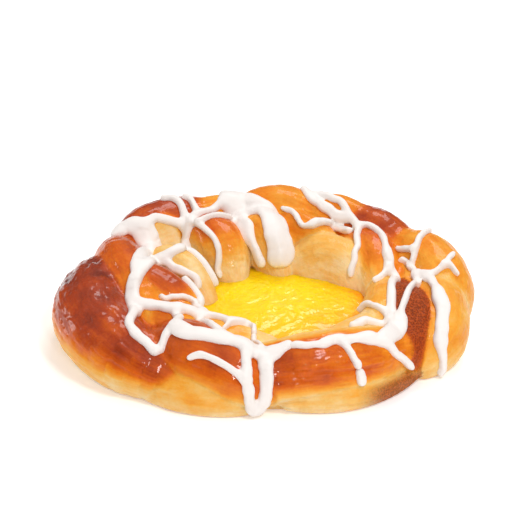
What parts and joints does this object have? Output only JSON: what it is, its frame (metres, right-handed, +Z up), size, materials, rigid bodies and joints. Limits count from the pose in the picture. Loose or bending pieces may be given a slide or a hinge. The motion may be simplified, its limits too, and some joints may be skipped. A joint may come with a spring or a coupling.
{
  "type": "danish pastry",
  "caption": "Round wreath of twisted sweet dough with a custard-filled hollow and white icing piped across the top.",
  "frame": {"origin": "middle of the pastry's bounding box, on the surface it stands on", "axes": "+Z up, -Y towards the side with the two long front ropes, +X towards the side with the spiced fold"},
  "size_m": [0.1146, 0.0916, 0.0247],
  "materials": {
    "dough": "egg-washed, unevenly browned crust: dark glossy crests, pale golden flanks",
    "custard": "wet, glossy, slightly wrinkled custard gel",
    "icing": "satin white sugar icing, thin and tinted by the crust at its edges"
  },
  "bodies": {
    "root": {"dough": "dough", "custard_filling": "custard", "icing_left_net": "icing", "icing_right_net": "icing", "icing_dab": "icing"}
  },
  "joints": []
}
